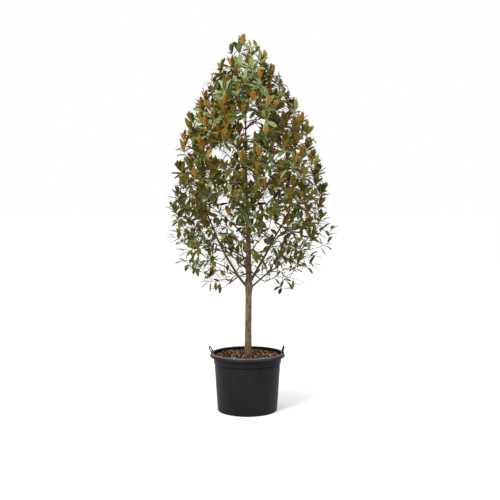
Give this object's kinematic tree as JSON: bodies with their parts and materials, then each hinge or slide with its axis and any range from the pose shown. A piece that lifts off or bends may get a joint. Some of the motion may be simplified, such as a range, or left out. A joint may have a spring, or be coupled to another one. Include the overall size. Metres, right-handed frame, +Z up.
{
  "type": "potted magnolia tree",
  "caption": "Evergreen magnolia grown as a single-trunk tree with an egg-shaped, fairly open crown, in a round black nursery pot with loop handles and bark mulch.",
  "frame": {"origin": "centre of the pot's flat underside", "axes": "+Z up along the trunk, +X to the right and +Y away from someone who looks at the tree from its front, with a pot handle at each side"},
  "size_m": [1.3354, 1.2748, 3.0139],
  "materials": {
    "pot": "charcoal black moulded plastic with a faint sheen",
    "mulch": "rough brown pine bark over potting mix",
    "bark": "smooth grey-brown bark with fine scars",
    "leaves": "glossy green above, rust-brown felt below"
  },
  "bodies": {
    "root": {"pot": "pot", "pot_handle_left": "pot", "pot_handle_right": "pot", "root_ball": "mulch", "trunk": "bark", "bough_skirt_right": "bark", "bough_skirt_back": "bark", "bough_skirt_left": "bark", "bough_skirt_front_left": "bark", "bough_skirt_front_right": "bark", "bough_lower_right": "bark", "bough_lower_back_right": "bark", "bough_lower_back": "bark", "bough_lower_left": "bark", "bough_lower_front_left": "bark", "bough_lower_front": "bark", "bough_middle_right": "bark", "bough_middle_back": "bark", "bough_middle_back_left": "bark", "bough_middle_left": "bark", "bough_middle_front": "bark", "bough_middle_front_right": "bark", "bough_upper_back_right": "bark", "bough_upper_back": "bark", "bough_upper_left": "bark", "bough_upper_front_left": "bark", "bough_upper_front_right": "bark", "foliage_skirt_right": "leaves", "foliage_skirt_back": "leaves", "foliage_skirt_left": "leaves", "foliage_skirt_front_left": "leaves", "foliage_skirt_front_right": "leaves", "foliage_lower_right": "leaves", "foliage_lower_back_right": "leaves", "foliage_lower_back": "leaves", "foliage_lower_left": "leaves", "foliage_lower_front_left": "leaves", "foliage_lower_front": "leaves", "foliage_middle_right": "leaves", "foliage_middle_back": "leaves", "foliage_middle_back_left": "leaves", "foliage_middle_left": "leaves", "foliage_middle_front": "leaves", "foliage_middle_front_right": "leaves", "foliage_upper_back_right": "leaves", "foliage_upper_back": "leaves", "foliage_upper_left": "leaves", "foliage_upper_front_left": "leaves", "foliage_upper_front_right": "leaves", "foliage_high_right": "leaves", "foliage_high_back_right": "leaves", "foliage_high_back_left": "leaves", "foliage_high_front_left": "leaves", "foliage_high_front": "leaves", "foliage_crest_back_right": "leaves", "foliage_crest_back_left": "leaves", "foliage_crest_front_left": "leaves", "foliage_crest_front_right": "leaves", "foliage_top": "leaves"}
  },
  "joints": []
}
